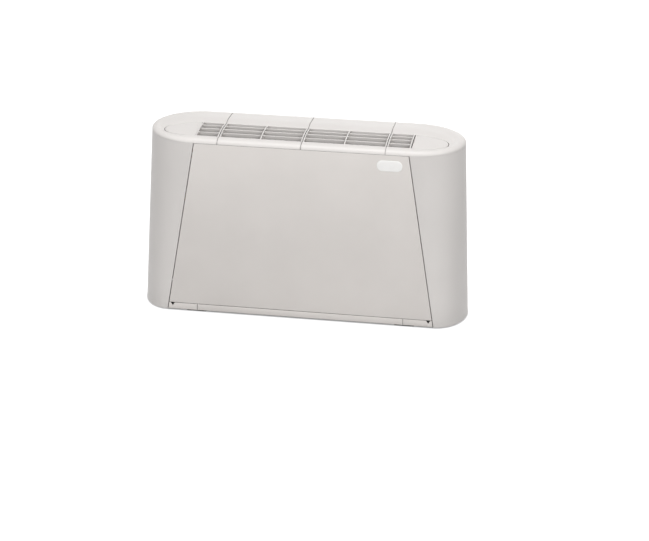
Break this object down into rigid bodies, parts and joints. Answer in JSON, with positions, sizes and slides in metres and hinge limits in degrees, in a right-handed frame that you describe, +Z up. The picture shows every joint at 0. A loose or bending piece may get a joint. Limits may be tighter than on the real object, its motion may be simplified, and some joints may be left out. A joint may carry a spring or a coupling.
{
  "type": "fan coil unit",
  "caption": "Vertical cabinet fan coil unit with rounded end cheeks, a louvred top outlet with hinged end flaps, a pull-out floor filter, twin blowers and a finned coil.",
  "frame": {"origin": "on the floor, mid width and mid depth", "axes": "+X to the right seen from the front, +Y towards the wall, +Z up"},
  "size_m": [0.84, 0.2205, 0.478],
  "materials": {
    "panel_paint": "smooth satin paint",
    "felt": "matt felt",
    "cheek_plastic": "soft gloss moulding",
    "top_plastic": "soft gloss moulding",
    "steel": "bright zinc",
    "dark_plastic": "fine texture",
    "filter_cloth": "woven",
    "rubber": "matt",
    "galvanised": "galvanised sheet",
    "motor_paint": "satin paint",
    "aluminium": "rolled sheet",
    "copper": "drawn copper",
    "brass": "turned",
    "box_plastic": "fine texture",
    "light_plastic": "fine texture"
  },
  "bodies": {
    "cabinet": {"front_panel": "panel_paint", "panel_lining": "felt", "left_cheek": "cheek_plastic", "right_cheek": "cheek_plastic", "left_grille": "top_plastic", "right_grille": "top_plastic", "left_top_end": "top_plastic", "right_top_end": "top_plastic", "left_hinge_pin": "steel", "right_hinge_pin": "steel", "left_strip_end": "panel_paint", "right_strip_end": "panel_paint", "feet": "rubber", "chassis_back": "galvanised", "left_side_plate": "galvanised", "right_side_plate": "galvanised", "fan_deck": "galvanised", "left_fan_housing": "galvanised", "right_fan_housing": "galvanised", "motor": "motor_paint", "motor_rings": "rubber", "motor_hangers": "galvanised", "coil_fins": "aluminium", "coil_tubes": "copper", "return_bends": "copper", "coil_end_plates": "galvanised", "water_inlet": "brass", "water_outlet": "brass", "drip_tray": "dark_plastic", "wiring_box": "box_plastic", "wiring_box_lid": "box_plastic", "terminal_block": "light_plastic", "cable_gland": "rubber", "control_plate": "galvanised", "selector_body": "dark_plastic", "thermostat_body": "dark_plastic", "casing_screws": "steel", "coil_screws": "steel"},
    "left_flap": {"left_flap": "top_plastic"},
    "right_flap": {"right_flap": "top_plastic"},
    "rotor": {"motor_shaft": "steel", "left_fan_wheel": "dark_plastic", "right_fan_wheel": "dark_plastic"},
    "filter_drawer": {"filter_front": "panel_paint", "filter_frame": "dark_plastic", "filter_mesh": "filter_cloth"},
    "speed_knob": {"speed_knob": "light_plastic"},
    "thermostat_knob": {"thermostat_knob": "light_plastic"}
  },
  "joints": [
    {"name": "left_flap_hinge", "type": "hinge", "parent": "cabinet", "child": "left_flap", "pos_m": [-0.2756, -0.037, 0.46681], "axis": [0, 0.9976, 0.0688], "range_deg": [0, 95]},
    {"name": "right_flap_hinge", "type": "hinge", "parent": "cabinet", "child": "right_flap", "pos_m": [0.2756, -0.037, 0.46681], "axis": [0, -0.9976, -0.0688], "range_deg": [0, 95]},
    {"name": "fan_spin", "type": "hinge", "parent": "cabinet", "child": "rotor", "pos_m": [0, 0, 0.112], "axis": [-1, 0, 0], "continuous": true},
    {"name": "filter_slide", "type": "slide", "parent": "cabinet", "child": "filter_drawer", "axis": [0, -1, 0], "range_m": [0, 0.19]},
    {"name": "speed_turn", "type": "hinge", "parent": "cabinet", "child": "speed_knob", "pos_m": [0.308, -0.037, 0.434], "axis": [0, 0, -1], "range_deg": [0, 135]},
    {"name": "thermostat_turn", "type": "hinge", "parent": "cabinet", "child": "thermostat_knob", "pos_m": [0.344, -0.037, 0.434], "axis": [0, 0, -1], "range_deg": [0, 270]}
  ]
}
